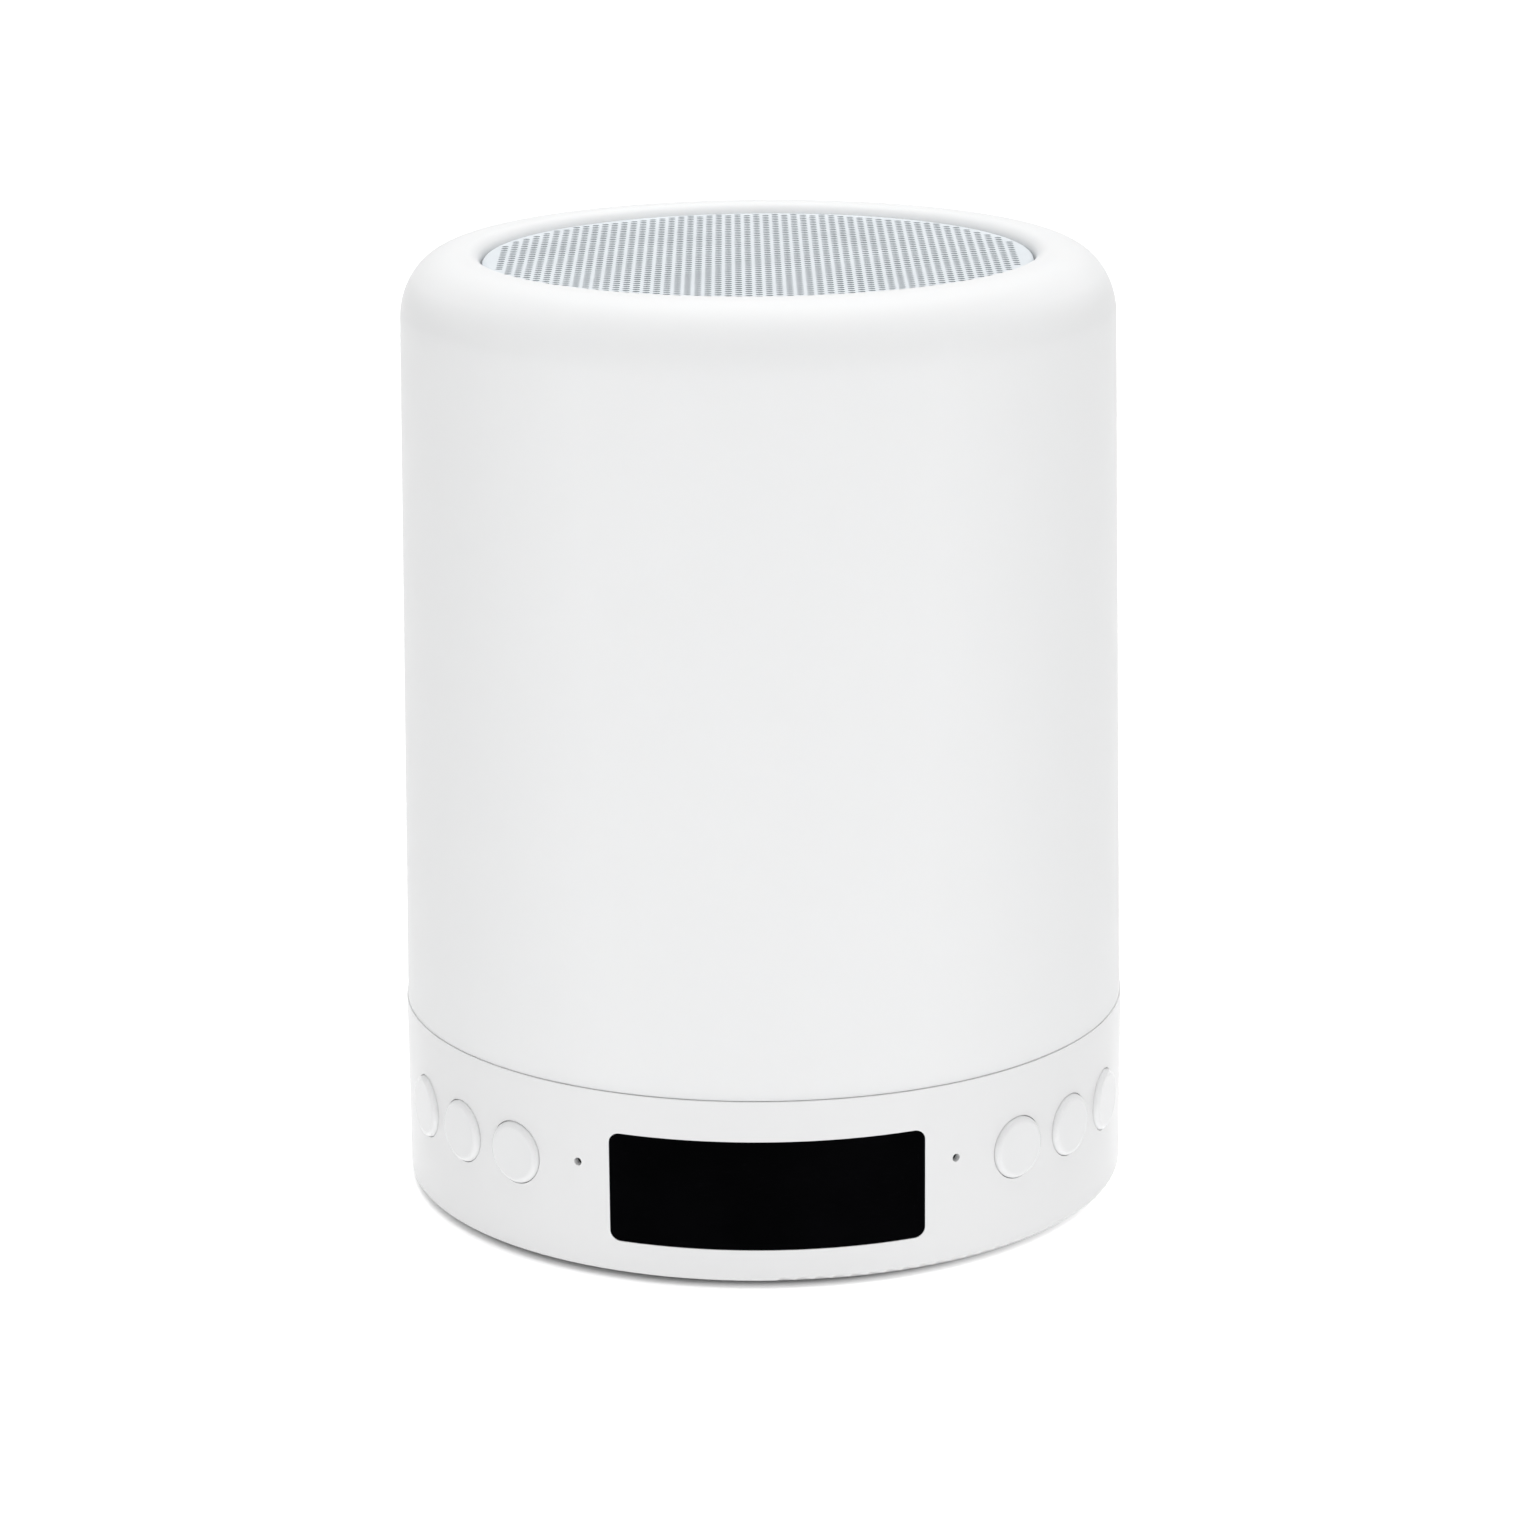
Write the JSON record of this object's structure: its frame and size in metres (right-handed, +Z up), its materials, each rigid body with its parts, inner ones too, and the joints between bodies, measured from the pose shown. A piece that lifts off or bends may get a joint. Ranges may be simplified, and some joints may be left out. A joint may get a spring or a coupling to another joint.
{
  "type": "touch lamp speaker clock",
  "caption": "Cylindrical bedside lamp with a milky shade, a touch speaker grille on top, a dark clock window and push buttons in its base ring.",
  "frame": {"origin": "on the table under the lamp's centre line", "axes": "+Z up along the lamp's centre line, -Y out of the clock window, +X to the right of someone facing the window"},
  "size_m": [0.09, 0.09, 0.117],
  "materials": {
    "white_housing": "satin",
    "white_button": "satin",
    "milky_shade": "frosted, translucent",
    "grille_metal": "fine powder coat",
    "smoked_window": "polished",
    "seal_rubber": "matte",
    "foot_rubber": "matte",
    "contact_metal": "plated",
    "screw_steel": "zinc plated",
    "dark_plastic": "fine texture",
    "digit_bars": "diffusing",
    "circuit_board": "solder mask",
    "clear_lens": "clear",
    "chip_black": "moulded",
    "knob_black": "fine texture",
    "white_reflector": "matte",
    "emitter_white": "moulded",
    "cell_wrap": "shrink film",
    "lead_sleeve": "satin",
    "basket_steel": "satin",
    "magnet_ferrite": "sintered",
    "coil_copper": "enamelled winding",
    "cone_paper": "pressed paper",
    "gasket_foam": "open foam"
  },
  "bodies": {
    "housing": {"base_ring": "white_housing", "lamp_shade": "milky_shade", "shade_gasket": "seal_rubber", "speaker_grille": "grille_metal", "touch_contact": "contact_metal", "bottom_cover": "dark_plastic", "foot_ring": "foot_rubber", "cover_screws": "screw_steel", "display_window": "smoked_window", "digit_module": "dark_plastic", "display_digits": "digit_bars", "display_board": "circuit_board", "microphone": "contact_metal", "status_light": "clear_lens", "tact_switches": "dark_plastic", "main_board": "circuit_board", "board_screws": "screw_steel", "board_chips": "chip_black", "radio_can": "contact_metal", "lead_connectors": "white_housing", "card_socket": "contact_metal", "usb_socket": "contact_metal", "aux_socket": "dark_plastic", "power_switch": "contact_metal", "light_deck": "white_reflector", "deck_screws": "screw_steel", "light_board": "circuit_board", "light_emitters": "emitter_white", "battery_cell": "cell_wrap", "battery_clips": "dark_plastic", "battery_contacts": "contact_metal", "battery_lead": "lead_sleeve", "speaker_cup": "white_reflector", "speaker_frame": "basket_steel", "speaker_magnet": "magnet_ferrite", "speaker_yoke": "basket_steel", "speaker_top_plate": "basket_steel", "speaker_spider": "cone_paper", "speaker_surround": "seal_rubber", "speaker_gasket": "gasket_foam", "speaker_leads": "lead_sleeve", "switch_flex_right": "circuit_board", "switch_carrier_right": "white_housing", "switch_flex_left": "circuit_board", "switch_carrier_left": "white_housing"},
    "button_right_front": {"button_right_front": "white_button"},
    "button_right_middle": {"button_right_middle": "white_button"},
    "button_right_rear": {"button_right_rear": "white_button"},
    "button_left_front": {"button_left_front": "white_button"},
    "button_left_middle": {"button_left_middle": "white_button"},
    "button_left_rear": {"button_left_rear": "white_button"},
    "power_knob": {"power_knob": "knob_black"},
    "speaker_moving": {"speaker_cone": "cone_paper", "dust_cap": "cone_paper", "voice_coil": "coil_copper"}
  },
  "joints": [
    {"name": "button_right_front_press", "type": "slide", "parent": "housing", "child": "button_right_front", "axis": [-0.6704, 0.742, 0], "range_m": [0, 0.0004], "stiffness_N_per_m": 1500},
    {"name": "button_right_middle_press", "type": "slide", "parent": "housing", "child": "button_right_middle", "axis": [-0.8211, 0.5707, 0], "range_m": [0, 0.0004], "stiffness_N_per_m": 1500},
    {"name": "button_right_rear_press", "type": "slide", "parent": "housing", "child": "button_right_rear", "axis": [-0.9285, 0.3714, 0], "range_m": [0, 0.0004], "stiffness_N_per_m": 1500},
    {"name": "button_left_front_press", "type": "slide", "parent": "housing", "child": "button_left_front", "axis": [0.6704, 0.742, 0], "range_m": [0, 0.0004], "stiffness_N_per_m": 1500},
    {"name": "button_left_middle_press", "type": "slide", "parent": "housing", "child": "button_left_middle", "axis": [0.8211, 0.5707, 0], "range_m": [0, 0.0004], "stiffness_N_per_m": 1500},
    {"name": "button_left_rear_press", "type": "slide", "parent": "housing", "child": "button_left_rear", "axis": [0.9285, 0.3714, 0], "range_m": [0, 0.0004], "stiffness_N_per_m": 1500},
    {"name": "power_slide", "type": "slide", "parent": "housing", "child": "power_knob", "axis": [-0.8988, -0.4384, 0], "range_m": [0, 0.002]},
    {"name": "speaker_stroke", "type": "slide", "parent": "housing", "child": "speaker_moving", "axis": [0, 0, 1], "range_m": [-0.0008, 0.0008], "stiffness_N_per_m": 1600}
  ]
}
